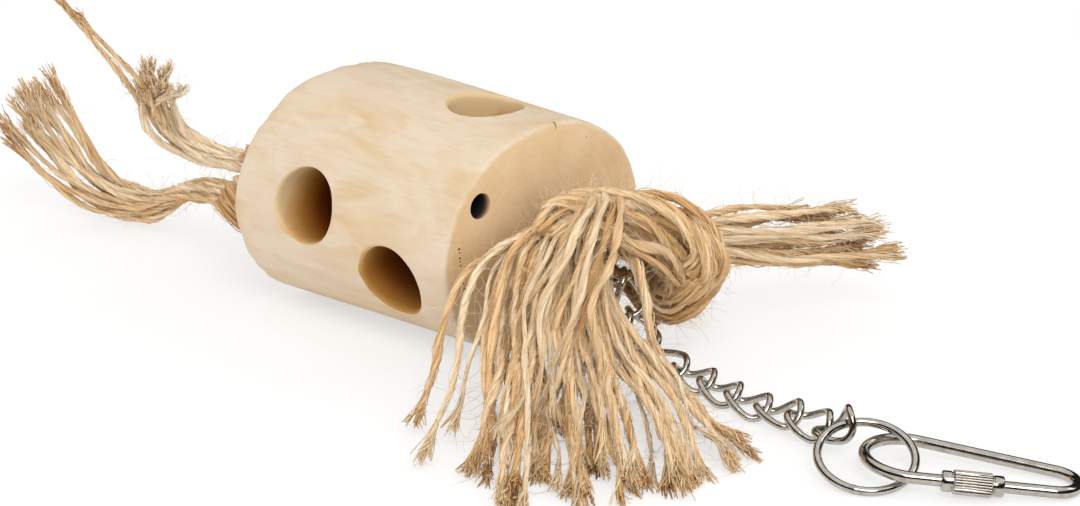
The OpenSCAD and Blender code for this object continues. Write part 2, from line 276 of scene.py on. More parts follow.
def joined(parts):
    # One set of points, quads and tris from several, moved to the frame
    points, quads, tris, start = [], [], [], 0
    for p, q, t in parts:
        points.append(p)
        quads.append(np.asarray(q, int).reshape(-1, 4) + start)
        tris.append(np.asarray(t, int).reshape(-1, 3) + start)
        start += len(p)
    return toFrame(np.concatenate(points)), np.concatenate(quads), np.concatenate(tris)


def turned(points, roll, pitch, yaw):
    a, b, c = (math.radians(v) for v in (roll, pitch, yaw))
    rx = np.array([[1, 0, 0], [0, math.cos(a), -math.sin(a)], [0, math.sin(a), math.cos(a)]])
    ry = np.array([[math.cos(b), 0, math.sin(b)], [0, 1, 0], [-math.sin(b), 0, math.cos(b)]])
    rz = np.array([[math.cos(c), -math.sin(c), 0], [math.sin(c), math.cos(c), 0], [0, 0, 1]])
    return np.asarray(points) @ (rz @ ry @ rx).T


def smoothNoise(rng, n, knots):
    t = np.linspace(0, knots - 1.001, n)
    values = rng.uniform(-1, 1, knots + 1)
    i = t.astype(int)
    f = t - i
    f = f * f * (3 - 2 * f)
    return values[i] * (1 - f) + values[i + 1] * f


addSky()
addLamp("key")
addLamp("rim")
addFloor()
addWall()
print("studio set")

# Log

logShape = {"length": 90, "radius": 40, "farRadius": 42, "oval": 1.15, "turn": 6, "wave": 0.4, "skew": 4.6,
            "lean": 2.4, "round": 1.2, "flat": 12, "farTopWorn": 1.6, "farTopFade": 9,
            "ragged": 0.35, "raggedWidth": 3, "around": 300, "along": 110, "rimSteps": 5,
            "knifeMark": 0.28, "knifeWaves": ((26, 1.0), (13, 0.7), (6, 0.35)),
            "treatHoles": [(-62.8, 172), (-27.5, 195), (-25.8, 86), (-63, 8), (-29, -14)],
            "treatRadius": 12, "treatDepth": 25, "treatBevel": 0.9, "treatSides": 72,
            # The treat holes' mouths: depth below the log's side, and how much wider
            "treatLip": [(2.4, 0.0), (1.0, 0.06), (0.35, 0.25), (-0.1, 0.7), (-1.2, 1.9), (-6, 3.2)],
            "coreRadius": 8, "pegRadius": 4, "pegDepth": 34, "pegPlace": (-28, 17), "past": 12,
            "crack": [(4.0, 4.0, 71.4), (4.0, 3.4, 74.6), (4.0, 4.7, 74.6)], "crackLength": 3.6,
            # Worm specks on the clip end: place across, height and radius
            "specks": [(-36.4, 42.5, 0.42), (-36.2, 41.2, 0.3), (-36.0, 39.4, 0.36), (-35.8, 38.3, 0.28),
                       (-35.6, 36.9, 0.3), (-34.3, 30.6, 0.3), (-33.7, 28.6, 0.5), (-33.3, 26.8, 0.26),
                       (18.0, 66.2, 0.25)]}


def sectionRadius(a, r):
    # A turned oval with small waves
    oval, t = math.sqrt(logShape["oval"]), a - math.radians(logShape["turn"])
    w, h = r * oval, r / oval
    wave = logShape["wave"] * (np.sin(3 * a + math.radians(50)) + np.sin(7 * a) / 2)
    return w * h / np.hypot(h * np.cos(t), w * np.sin(t)) + wave


def logRadiusAt(x):
    return logShape["radius"] + (logShape["farRadius"] - logShape["radius"]) * -x / logShape["length"]


def axisHeight(x):
    return np.sqrt(sectionRadius(-math.pi / 2, logRadiusAt(x)) ** 2 - (logShape["flat"] / 2) ** 2)


def axisRise():
    return (axisHeight(-logShape["length"]) - axisHeight(0.0)) / logShape["length"]


def skewed(x, y, z):
    skew, lean = math.tan(math.radians(logShape["skew"])), math.tan(math.radians(logShape["lean"]))
    return x + y * skew + (z - axisHeight(x)) * lean


def peelWaves(x, a, rng):
    # Long shallow flats that the peeling knife leaves, and small waves between them
    total = np.zeros_like(x)
    for size, share in logShape["knifeWaves"]:
        rounds = 2 * math.pi * logShape["radius"] / size
        for _ in range(3):
            turns = rng.integers(round(rounds * 0.6), round(rounds) + 1)
            start = rng.uniform(0, 6.3)
            bend = np.sin(x / rng.uniform(18, 40) + rng.uniform(0, 6.3)) * 1.4
            total += share * np.sin(turns * a + start + bend) / 3
    return total * logShape["knifeMark"]


def logSurface(rng):
    # The worn near rim, then the side, then the far rim
    n, length, rim = logShape["around"], logShape["length"], logShape["round"]
    q = np.linspace(0, math.pi / 2, logShape["rimSteps"] + 1)
    inset, places = rim * (1 - np.sin(q)), -rim * (1 - np.cos(q))
    side = np.linspace(-rim, -length + rim, logShape["along"])[1:-1]
    xs = np.concatenate([places, side, -length - places[::-1]])
    inset = np.concatenate([inset, np.zeros(len(side)), inset[::-1]])
    x, angle = np.meshgrid(xs, (np.arange(n) + 0.5) * 2 * math.pi / n, indexing="ij")
    topWorn = logShape["farTopWorn"] * np.exp(-(x + length) / logShape["farTopFade"])
    edge = logShape["raggedWidth"]
    ragged = np.interp(np.abs(x), [0, edge, length - edge, length], [1, 0, 0, 1]) * logShape["ragged"]
    r = sectionRadius(angle, logRadiusAt(x)) - inset[:, None] - topWorn * np.maximum(np.sin(angle), 0) ** 2
    r += peelWaves(x, angle, rng) - ragged * np.abs(np.sin(11 * angle + 2 * np.sin(5 * angle)))
    y = r * np.cos(angle)
    z = axisHeight(x) + np.maximum(r * np.sin(angle), -axisHeight(x))
    return np.stack([skewed(x, y, z), y, z], -1)


def logBody(materials):
    points = logSurface(np.random.default_rng(5))
    n = points.shape[1]
    index = np.arange(points.shape[0] * n).reshape(-1, n)
    quads = ringQuads(index[1:], index[:-1])
    verts, capQuads, capTris, start = [points.reshape(-1, 3)], [], [], index.size
    # End faces, in rings so that they can carry saw marks
    for row, order in ((0, 1), (-1, -1)):
        ring, previous = points[row], index[row]
        middle = ring.mean(0)
        for share in (0.93, 0.8, 0.6, 0.4, 0.2):
            here = start + np.arange(n)
            start += n
            verts.append(middle + (ring - middle) * share)
            capQuads.append(ringQuads(previous, here)[:, ::order])
            previous = here
        verts.append(middle[None])
        face = np.stack([previous, np.roll(previous, -1), np.full(n, start)], -1)
        capTris.append(face[:, ::order])
        start += 1
    body = meshPiece("peeled_log", toFrame(np.concatenate(verts)), np.concatenate([quads] + capQuads),
                     np.concatenate(capTris), smooth=True)
    for material in materials:
        body.data.materials.append(material)
    kinds = np.ones(len(body.data.polygons), np.int32)
    kinds[:len(quads)] = 0
    body.data.polygons.foreach_set("material_index", kinds)
    return body


def roundCutter(rings):
    # A closed form over rings of points, for cutting
    rings = np.asarray(rings)
    n, s = rings.shape[:2]
    index = np.arange(n * s).reshape(n, s)
    after = np.roll(index, -1, 1)
    points = np.concatenate([rings.reshape(-1, 3), rings[0].mean(0)[None], rings[-1].mean(0)[None]])
    low, high = np.full(s, n * s), np.full(s, n * s + 1)
    tris = np.concatenate([np.stack([after[0], index[0], low], 1), np.stack([index[-1], after[-1], high], 1)])
    return points, ringQuads(index[:-1], index[1:]), tris


def treatCutter(x, degrees, rng):
    h, s = math.radians(degrees), logShape["treatSides"]
    outward = np.array([0, math.cos(h), math.sin(h)])
    across = np.array([0, -math.sin(h), math.cos(h)])
    phi = roundTurn(s)
    fray = 1 + 0.5 * np.abs(smoothNoise(rng, s, 13))
    bevel, middle = logShape["treatBevel"], np.array([x, 0, axisHeight(x)])
    deepest = sectionRadius(h, logRadiusAt(x)) - logShape["treatDepth"]
    rings = []
    for depth, extra in [(None, -bevel), (None, 0.0)] + logShape["treatLip"]:
        radius = logShape["treatRadius"] + extra * (fray if extra > 0.2 else 1)
        side, along = -radius * np.sin(phi), radius * np.cos(phi)
        if depth is None:
            reach = np.full(s, deepest + bevel + extra)
        else:
            # How far out the log's side lies over each point, found in a few rounds
            reach = np.full(s, float(logShape["radius"]))
            for _ in range(5):
                surface = sectionRadius(h + np.arctan2(side, reach), logRadiusAt(x))
                reach = np.sqrt(np.maximum(surface ** 2 - side ** 2, 1))
            reach = reach - depth
        rings.append(middle + along[:, None] * [1, 0, 0] + side[:, None] * across + reach[:, None] * outward)
    return roundCutter(rings)


def boreCutter(start, end, radius, count, flare=0.0):
    # A round bore whose mouth opens over its last 2 mm
    start, end = np.asarray(start, float), np.asarray(end, float)
    d = unit(end - start)
    u = unit(np.cross(d, [0.1, 0.2, 1]))
    v = np.cross(d, u)
    phi = roundTurn(count)
    circle = np.cos(phi)[:, None] * u + np.sin(phi)[:, None] * v
    mouth = [(2.2 + flare, radius), (1.9, radius + flare), (0, radius + flare)]
    return roundCutter([start + circle * radius] + [end - d * back + circle * wide for back, wide in mouth])


def endBore(y, z, depth, past, radius, count, flare=0.0):
    face = skewed(0.0, y, z)
    return boreCutter((face - depth, y, z), (face + past, y, z), radius, count, flare)


def allCuts():
    rng = np.random.default_rng(17)
    cuts = [treatCutter(x, a, rng) for x, a in logShape["treatHoles"]]
    past, low, rise = logShape["past"], axisHeight(0.0), axisRise()
    back = logShape["length"] + past
    ends = (-back, 0, low + back * rise), (past, 0, low - past * rise)
    cuts.append(boreCutter(*ends, logShape["coreRadius"], 48))
    y, up = logShape["pegPlace"]
    cuts.append(endBore(y, low + up, logShape["pegDepth"], 2, logShape["pegRadius"], 40, 0.25))
    # Drying crack at the top of the clip end, and worm specks on its face
    crack = np.array(logShape["crack"])
    cuts.append((np.concatenate([crack, crack - [logShape["crackLength"], 0, 0]]),
                 np.array([(0, 1, 4, 3), (1, 2, 5, 4), (2, 0, 3, 5)]), np.array([(2, 1, 0), (3, 4, 5)])))
    return cuts + [endBore(y, z, 1.2, 3, size, 8) for y, z, size in logShape["specks"]]


def cutLog(body, wideSlot=2, narrowSlot=3):
    cuts = allCuts()
    cutter = meshPiece("cutter", *joined(cuts), smooth=True)
    wide = len(logShape["treatHoles"])
    kinds = []
    for kind in (1, 2):
        for i, part in enumerate(cuts):
            kinds.append(np.full(len(part[kind]), wideSlot if i < wide else narrowSlot, np.int32))
    for material in list(body.data.materials):
        cutter.data.materials.append(material)
    cutter.data.polygons.foreach_set("material_index", np.concatenate(kinds))
    cut = body.modifiers.new("holes", "BOOLEAN")
    cut.operation = "DIFFERENCE"
    cut.solver = "EXACT"
    cut.object = cutter
    cut.material_mode = "INDEX"
    applyModifiers(body)
    bpy.data.objects.remove(cutter)
    body.data.polygons.foreach_set("use_smooth", np.ones(len(body.data.polygons), bool))
    body.data.set_sharp_from_angle(angle=math.radians(38))


def applyModifiers(piece):
    graph = bpy.context.evaluated_depsgraph_get()
    mesh = bpy.data.meshes.new_from_object(piece.evaluated_get(graph))
    old = piece.data
    piece.modifiers.clear()
    piece.data = mesh
    bpy.data.meshes.remove(old)


def inMillimetres(tree, across, along):
    # Noise coordinates, with one unit for so many millimetres across the grain and along it
    place = addNode(tree, "TexCoord")
    return addNode(tree, "Mapping",
                   {"Vector": place.outputs["Object"], "Scale": (1000 / along, 1000 / across, 1000 / across)})


def peeledWood():
    # Peeled softwood, dried: pale cream with long yellow and rosy patches, and a dull sheen from the knife
    material, tree = newMaterial("peeled dried softwood")
    broad = addNode(tree, "TexNoise", {"Vector": inMillimetres(tree, 17, 46), "Scale": 1.0, "Detail": 4.0,
                                       "Roughness": 0.55, "Distortion": 0.9})
    patches = addNode(tree, "ValToRGB", {"Fac": broad},
                      [(0.30, "#d4b78c"), (0.42, "#d9c1a0"), (0.52, "#dccab0"), (0.62, "#d9c3a5"),
                       (0.74, "#d5ba95")])
    fine = addNode(tree, "TexNoise",
                   {"Vector": inMillimetres(tree, 1.1, 16), "Scale": 1.0, "Detail": 3.0, "Roughness": 0.6})
    grain = addNode(tree, "ValToRGB", {"Fac": fine}, [(0.33, "#c9a77c"), (0.52, "#ffffff")])
    base = addNode(tree, "Mix", {0: 0.11, 6: patches, 7: grain}, data_type="RGBA", blend_type="MULTIPLY")
    rosy = addNode(tree, "TexNoise", {"Vector": inMillimetres(tree, 24, 30), "Scale": 1.0, "Detail": 2.0})
    rosyShare = addNode(tree, "MapRange", {"Value": rosy, "From Min": 0.5, "From Max": 0.75, "To Max": 0.5})
    colour = addNode(tree, "Mix", {0: rosyShare, 6: base.outputs[2], 7: srgb("#d9c0a9")}, data_type="RGBA")
    # Flat flakes about 12 mm wide where the knife lifted: a little paler, with a faint step at the edge
    flake = addNode(tree, "TexNoise", {"Vector": inMillimetres(tree, 12, 21), "Scale": 1.0, "Detail": 3.0,
                                       "Roughness": 0.45, "Distortion": 0.7})
    step = addNode(tree, "MapRange", {"Value": flake, "From Min": 0.55, "From Max": 0.6},
                   interpolation_type="SMOOTHSTEP")
    paler = addNode(tree, "Math", {0: step, 1: 0.45}, operation="MULTIPLY")
    colour = addNode(tree, "Mix", {0: paler, 6: colour.outputs[2], 7: srgb("#dfceb6")}, data_type="RGBA")
    cut = addNode(tree, "Bump", {"Height": step, "Strength": 0.28, "Distance": 0.0003})
    bump = addNode(tree, "Bump", {"Height": fine, "Strength": 0.2, "Distance": 0.0002, "Normal": cut})
    rough = addNode(tree, "MapRange", {"Value": broad, "To Min": 0.5, "To Max": 0.68})
    finishMaterial(tree, {"Base Color": colour.outputs[2], "Roughness": rough, "Normal": bump})
    return material


def sawnWood():
    # Saw-cut end grain: a tone darker and matt, with faint year rings and saw streaks
    material, tree = newMaterial("sawn end grain")
    place = addNode(tree, "TexCoord")
    centred = addNode(tree, "VectorMath", {0: place.outputs["Object"], 1: (0, -0.002, 0.041)},
                      operation="SUBTRACT")
    flat = addNode(tree, "VectorMath", {0: centred, 1: (0, 0.93, 1.07)}, operation="MULTIPLY")
    rings = addNode(tree, "TexWave",
                    {"Vector": flat, "Scale": 95.0, "Distortion": 1.4, "Detail": 2.0, "Detail Scale": 0.6},
                    wave_type="RINGS", rings_direction="SPHERICAL", wave_profile="SAW")
    tone = addNode(tree, "TexNoise",
                   {"Vector": inMillimetres(tree, 21, 21), "Scale": 1.0, "Detail": 4.0, "Roughness": 0.6})
    cloud = addNode(tree, "ValToRGB", {"Fac": tone}, [(0.3, "#dab88a"), (0.5, "#e0c196"), (0.7, "#e3c9a3")])
    ringTone = addNode(tree, "ValToRGB", {"Fac": rings.outputs["Fac"]},
                       [(0.0, "#ffffff"), (0.75, "#f2e4cd"), (1.0, "#d8bf97")])
    base = addNode(tree, "Mix", {0: 0.1, 6: cloud, 7: ringTone}, data_type="RGBA", blend_type="MULTIPLY")
    speck = addNode(tree, "TexNoise", {"Vector": inMillimetres(tree, 0.7, 0.7), "Scale": 1.0, "Detail": 2.0})
    dust = addNode(tree, "ValToRGB", {"Fac": speck}, [(0.33, "#bf9e72"), (0.45, "#ffffff")])
    colour = addNode(tree, "Mix", {0: 0.12, 6: base.outputs[2], 7: dust}, data_type="RGBA",
                     blend_type="MULTIPLY")
    saw = addNode(tree, "TexNoise", {"Vector": inMillimetres(tree, 2.2, 2.2), "Scale": 1.0, "Detail": 3.0})
    bump = addNode(tree, "Bump", {"Height": saw, "Strength": 0.3, "Distance": 0.00025})
    finishMaterial(tree, {"Base Color": colour.outputs[2], "Roughness": 0.78, "Normal": bump})
    return material


def drilledWood():
    # Drilled wood with turning marks, and painted shade that deepens into the hole: pale at the rim, ochre
    # below, brown at the bottom
    material, tree = newMaterial("drilled wood with painted shade")
    place = addNode(tree, "TexCoord")
    off = addNode(tree, "VectorMath", {0: place.outputs["Object"], 1: (0, 0.0014, 0.0385)},
                  operation="SUBTRACT")
    flat = addNode(tree, "VectorMath", {0: off, 1: (0, 0.95, 1.05)}, operation="MULTIPLY")
    reach = addNode(tree, "VectorMath", {0: flat}, operation="LENGTH")
    marks = addNode(tree, "TexNoise", {"Vector": inMillimetres(tree, 1.6, 7), "Scale": 1.0, "Detail": 3.0})
    depth = addNode(tree, "MapRange", {"Value": reach.outputs["Value"], "From Min": 0.015, "From Max": 0.041})
    jitter = addNode(tree, "MapRange", {"Value": marks, "To Min": -0.05, "To Max": 0.05})
    share = addNode(tree, "Math", {0: depth, 1: jitter}, operation="ADD")
    # Painted shade: the holes lower on the log are painted darker, those higher up paler
    parts = addNode(tree, "SeparateXYZ", {0: place.outputs["Object"]})
    height = addNode(tree, "MapRange", {"Value": parts.outputs["Z"], "From Min": 0.027, "From Max": 0.045,
                                        "To Min": -0.3, "To Max": 0.16})
    lower = addNode(tree, "Math", {0: share, 1: height}, operation="ADD")
    # Painted light from above: the hole at the top, the only one over the log's middle, is painted palest
    aside = addNode(tree, "Math", {0: parts.outputs["Y"]}, operation="ABSOLUTE")
    top = addNode(tree, "MapRange",
                  {"Value": aside, "From Min": 0.0125, "From Max": 0.015, "To Min": 0.32, "To Max": 0.0})
    paintedShadeAndMarks = addNode(tree, "Math", {0: lower, 1: top}, operation="ADD")
    colour = addNode(tree, "ValToRGB", {"Fac": paintedShadeAndMarks},
                     [(0.0, "#521f02"), (0.32, "#7d3f08"), (0.62, "#a8752f"), (0.88, "#cfa66c"),
                      (1.0, "#d9bd92")])
    bump = addNode(tree, "Bump", {"Height": marks, "Strength": 0.25, "Distance": 0.0003})
    finishMaterial(tree, {"Base Color": colour, "Roughness": 0.75, "Specular IOR Level": 0.2, "Normal": bump})
    return material


def boredWood():
    # Narrow bores and worm holes: raw at the mouth, and painted shade, brown to nearly black, a few
    # millimetres in
    material, tree = newMaterial("narrow bore with painted shade")
    place = addNode(tree, "TexCoord")
    parts = addNode(tree, "SeparateXYZ", {0: place.outputs["Object"]})
    depth = addNode(tree, "MapRange", {"Value": parts.outputs["X"], "From Min": 0.0135, "From Max": 0.0178})
    colour = addNode(tree, "ValToRGB", {"Fac": depth},
                     [(0.0, "#0c0705"), (0.45, "#1a0f09"), (0.75, "#6b4c38"), (1.0, "#c4a484")])
    finishMaterial(tree, {"Base Color": colour, "Roughness": 0.85})
    return material


log = logBody([peeledWood(), sawnWood(), drilledWood(), boredWood()])
cutLog(log)
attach(log, "toy")
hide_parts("log")
print("log made")


# Jute twines

jute = {"thick": 2.3, "plyReach": 0.2, "plyRadius": 0.31, "plySides": 6, "pitch": (22, 42), "step": 3.0,
        "fibres": 7, "fibreRadius": 0.15, "stray": 0.8, "wander": 1.6, "loose": 0.2,
        "brush": 18, "brushLength": (9, 18), "brushSpread": 2.3, "brushRadius": 0.34, "hair": 0.075}


def juteFibre(name, dark, middle, light, pale):
    # Jute: straw to dull gold, silky, with fibres that run along each strand and catch the light in streaks
    material, tree = newMaterial(name)
    place = addNode(tree, "Attribute", attribute_name="fibre")
    tone = addNode(tree, "Attribute", attribute_name="tone")
    # Streaks 11 mm long and 0.4 mm apart, and slow changes of colour along a twine
    streak = addNode(tree, "Mapping", {"Vector": place.outputs["Vector"], "Scale": (1 / 11, 1 / 0.4, 1)})
    fibres = addNode(tree, "TexNoise", {"Vector": streak, "Scale": 1.0, "Detail": 3.0, "Roughness": 0.6})
    slow = addNode(tree, "Mapping", {"Vector": place.outputs["Vector"], "Scale": (1 / 14, 1 / 5, 1)})
    patch = addNode(tree, "TexNoise", {"Vector": slow, "Scale": 1.0, "Detail": 1.0})
    spread = addNode(tree, "MapRange",
                     {"Value": fibres, "From Min": 0.25, "From Max": 0.75, "To Min": -0.3, "To Max": 0.3})
    drift = addNode(tree, "MapRange",
                    {"Value": patch, "From Min": 0.3, "From Max": 0.7, "To Min": -0.14, "To Max": 0.14})
    mixed = addNode(tree, "Math", {0: tone.outputs["Fac"], 1: spread}, operation="ADD")
    both = addNode(tree, "Math", {0: mixed, 1: drift}, operation="ADD")
    colour = addNode(tree, "ValToRGB", {"Fac": both},
                     [(0.0, dark), (0.35, middle), (0.65, light), (1.0, pale)])
    bump = addNode(tree, "Bump", {"Height": fibres, "Strength": 0.8, "Distance": 0.0004})
    finishMaterial(tree, {"Base Color": colour, "Roughness": 0.75, "Specular IOR Level": 0.15,
                          "Sheen Weight": 0.04, "Sheen Roughness": 0.4, "Normal": bump})
    return material


nearJute = juteFibre("loosely spun jute", "#a0672c", "#dcae74", "#f2d0a0", "#fbe9cb")
farJute = juteFibre("loosely spun jute, paler", "#ad773f", "#dfb682", "#f2d5ab", "#fbecd3")


def keepClear(path, gap):
    # Twines lie over the floor, and outside both end faces of the log
    path = path.copy()
    path[..., 2] = np.maximum(path[..., 2], gap)
    x, y, z = path[..., 0], path[..., 1], path[..., 2]
    height = z - axisHeight(0.0)
    angle, radius = np.arctan2(height, y), np.hypot(height, y)
    half = -logShape["length"] / 2
    inside = (radius < sectionRadius(angle, logRadiusAt(half)) + 1) & (radius > logShape["coreRadius"] - 2.5)
    nearFace, farFace = skewed(0.0, y, z) + gap + 0.2, skewed(2 * half, y, z) - gap - 0.2
    near = inside & (x > half) & (x < nearFace)
    far = inside & (x <= half) & (x > farFace)
    path[..., 0] = np.where(near, nearFace, np.where(far, farFace, x))
    return path


class Bunch:
    # Twines gathered into one mesh, with a tone and a fibre direction at each point
    def __init__(self, seed):
        self.rng = np.random.default_rng(seed)
        self.parts, self.start, self.routes = [], 0, []

    def add(self, paths, radii, sides, tones, along):
        points, quads, tris = sweepTubes(paths, radii, sides)
        k, n = paths.shape[:2]
        tones = np.broadcast_to(np.asarray(tones, float).reshape(k, -1), (k, n))
        fibre = np.zeros((k, n, sides, 3))
        fibre[..., 0] = along[None, :, None]
        fibre[..., 1] = (np.arange(sides) / sides * 2 * math.pi * radii.mean())[None, None, :]
        fibre[..., 2] = self.rng.uniform(0, 40, k)[:, None, None]
        self.parts.append((points, quads + self.start, tris + self.start,
                           np.repeat(tones.ravel(), sides), fibre.reshape(-1, 3)))
        self.start += len(points)

    def twine(self, points, tone, tip=True, thick=1.0, wander=1.0, free=0.25):
        rng = self.rng
        path, way = evenly(curveThrough(points, np.linspace(0, 1, 160)), jute["step"])
        n, length = len(path), way[-1]
        sides, ups = (f[0] for f in framesAlong(path[None]))
        ramp = np.clip((way / length - free) / 0.3, 0, 1) if tip else np.sin(way / length * math.pi)
        knots = max(int(length / 16), 4)
        amount = jute["wander"] * wander * (0.3 + 0.7 * ramp)
        path = path + sides * (amount * smoothNoise(rng, n, knots))[:, None]
        path = path + ups * (amount * smoothNoise(rng, n, knots))[:, None]
        path = keepClear(path, jute["thick"] * thick * 0.5)
        self.routes.append(path)
        toTip = length - way
        girth = thick * (1 + jute["loose"] * smoothNoise(rng, n, knots + 3))
        if tip:
            girth = girth * (1 - 0.3 * np.exp(-((toTip - 15) / 8) ** 2))
        wide, thin = girth * rng.uniform(1.0, 1.25), girth * rng.uniform(0.85, 1.0)
        flat = rng.uniform(0, 6.3) + way / 60
        side = sides * np.cos(flat)[:, None] + ups * np.sin(flat)[:, None]
        up = ups * np.cos(flat)[:, None] - sides * np.sin(flat)[:, None]
        turn = 2 * math.pi * way / rng.uniform(*jute["pitch"]) + rng.uniform(0, 6.3)

        def beside(angle, out):
            line = path + side * (np.cos(angle) * out * wide)[:, None]
            line = line + up * (np.sin(angle) * out * thin)[:, None]
            line[:, 2] = np.maximum(line[:, 2], 0.5)
            return line

        reach, body = jute["thick"] * jute["plyReach"], jute["thick"] * jute["plyRadius"]
        plies = np.stack([beside(turn + math.pi * i, reach) for i in range(2)])
        radii = body * girth * np.stack([1 + 0.14 * smoothNoise(rng, n, knots * 2) for _ in range(2)])
        if tip:
            radii *= np.clip(toTip / 9, 0.2, 1)[None]
        self.add(plies, radii, jute["plySides"], tone + rng.uniform(-0.08, 0.08, 2), way)

        count = jute["fibres"]
        lines = np.empty((count, n, 3))
        flare = 1 + 1.3 * np.clip(1 - toTip / 12, 0, 1) ** 1.4 if tip else 1
        for i in range(count):
            angle = turn + 2 * math.pi * i / count + 0.7 * smoothNoise(rng, n, knots)
            out = (reach + body) * (0.78 + 0.22 * np.abs(np.cos(angle - turn)))
            out = out * flare + jute["stray"] * np.maximum(smoothNoise(rng, n, knots * 2), 0) ** 2
            lines[i] = beside(angle, out)
        radii = jute["fibreRadius"] * (1 + 0.4 * rng.uniform(-1, 1, (count, 1))) * np.ones((1, n))
        self.add(lines, radii, 3, tone + rng.uniform(-0.15, 0.3, count), way)
        if tip:
            self.brush(path, way, tone)

    def brush(self, path, way, tone):
        # The cut end, where the twist opens and the fibres splay
        rng = self.rng
        n, count = 8, jute["brush"]
        heading = unit(path[-1] - path[-3])
        across = unit(np.cross(heading, [0, 0, 1]) + 0.35 * rng.normal(size=3))
        across = unit(across - heading * (across @ heading))
        over = np.cross(heading, across)
        share = np.linspace(0, 1, n)
        spread = jute["brushSpread"] * rng.uniform(0.5, 1.2)
        lines = np.empty((count, n, 3))
        for i in range(count):
            start = way[-1] - rng.uniform(*jute["brushLength"])
            marks = np.linspace(start, way[-1] + rng.uniform(-1.5, 3), n)
            line = np.stack([np.interp(marks, way, path[:, k]) for k in range(3)], 1)
            line += heading * np.maximum(marks - way[-1], 0)[:, None]
            a, b = rng.uniform(-1, 1), rng.uniform(-1, 1)
            splay = spread * share ** 1.3
            line += across * (a * (0.6 + splay) + 0.5 * share * smoothNoise(rng, n, 4))[:, None]
            line += over * (b * (0.5 + 0.35 * splay) + 0.4 * share * smoothNoise(rng, n, 4))[:, None]
            line[:, 2] = np.maximum(line[:, 2], 0.35)
            lines[i] = line
        radii = jute["brushRadius"] * rng.uniform(0.6, 1.3, (count, 1)) * (1 - 0.45 * share)[None]
        tones = tone - 0.04 + rng.uniform(-0.14, 0.14, (count, 1)) - 0.2 * share[None]
        self.add(lines, radii, 3, tones, marks)

    def fuzz(self, count, low, high, radius=jute["hair"], sheer=0.7):
        # Single fibres that stand off the twines and curl
        rng = self.rng
        n = 9
        paths, tones = np.empty((count, n, 3)), rng.uniform(0.5, 1.0, count)
        for i in range(count):
            route = self.routes[rng.integers(len(self.routes))]
            j = rng.integers(1, len(route) - 1)
            along = unit(route[j + 1] - route[j - 1]) * rng.choice([-1, 1], p=[0.3, 0.7])
            out = unit(np.cross(along, rng.normal(size=3)))
            length = rng.uniform(low, high)
            heading = unit(along * sheer + out * rng.uniform(0.15, 0.65))
            bend = rng.normal(size=3) * rng.uniform(0.6, 2.6) / n * 2
            point = route[j] + out * jute["thick"] * 0.4
            for k in range(n):
                paths[i, k] = point
                point = point + heading * length / (n - 1)
                bend = bend + rng.normal(size=3) * 0.2
                heading = unit(heading + bend)
        paths[..., 2] = np.maximum(paths[..., 2], radius * 1.5)
        radii = np.full((count, n), radius) * np.linspace(1.1, 0.5, n)[None]
        self.add(paths, radii, 3, tones, np.linspace(0, 10, n))

    def piece(self, name, material, node):
        points, quads, tris, tone, fibre = (np.concatenate(part) for part in zip(*self.parts))
        piece = meshPiece(name, toFrame(points), quads, tris, material, True, {"tone": tone, "fibre": fibre})
        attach(piece, "toy")
        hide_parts(node)
        print(name, len(quads) * 2 + len(tris), "triangles")
        self.parts, self.start = [], 0


def fanned(fan, k, s):
    left, middle, right = (np.array(route[k], float) for route in fan)
    return left * (1 - s) * (1 - 2 * s) + middle * 4 * s * (1 - s) + right * s * (2 * s - 1)


def leadIn(point, leads, rng):
    # Where a twine comes from, inside the knot
    return [point + offset + rng.uniform(-1, 1, 3) * spread for offset, spread in leads]


def tassel(bunch, fan, deep, up, count, leads, tones, wander=1.0, reach=0.08, thick=1.0):
    # Twines spread over a fan of three routes, and above and below it
    up, rng = np.array(up, float), bunch.rng
    for i in range(count):
        turn = math.radians(i * 137.508)
        q = math.sqrt((i + 0.5) / count)
        across, high = q * math.cos(turn), q * math.sin(turn)
        points = []
        for k in range(len(deep)):
            place = fanned(fan, k, (1 + across) / 2) + up * high * deep[k]
            points.append(place + rng.uniform(-1, 1, 3) * k * 0.5)
        cut = 1 - reach * abs(rng.uniform(-1, 1))
        points[-1] = points[-2] + (points[-1] - points[-2]) * cut
        lead = leadIn(points[0], leads, rng)
        # Higher twines are painted lighter and lower ones darker: painted light and shade
        bunch.twine(lead + points, rng.choice(tones) + 0.16 * high, wander=wander, thick=thick)


def clumpedTassel(bunch, fan, deep, up, groups, leads, tones):
    # Twines that leave side by side and draw together in groups: (where across, how many, how long, how deep)
    up, rng = np.array(up, float), bunch.rng
    total = sum(g[1] for g in groups)
    rank = 0
    gather = np.linspace(0, 1, len(deep)) ** 0.8
    for where, count, length, depth in groups:
        for _ in range(count):
            root = (rank + 0.5 + rng.uniform(-3, 3)) / total
            rank += 1
            high = rng.uniform(-0.9, 0.9)
            own = rng.uniform(-0.034, 0.034) if count > 1 else 0
            points = []
            for k in range(len(deep)):
                s = root * (1 - gather[k]) + (where + own) * gather[k]
                h = high * (1 - gather[k]) + (depth + high * 0.4) * gather[k]
                points.append(fanned(fan, k, s) + up * h * deep[k] + rng.uniform(-1, 1, 3) * (0.9 + 0.5 * k))
            points[-1] = points[-2] + (points[-1] - points[-2]) * length * rng.uniform(0.82, 1.06)
            lead = leadIn(points[0], leads, rng)
            # Higher twines are painted lighter and lower ones darker: painted light and shade
            bunch.twine(lead + points, rng.choice(tones) + 0.12 * high, thick=rng.uniform(0.85, 1.12))


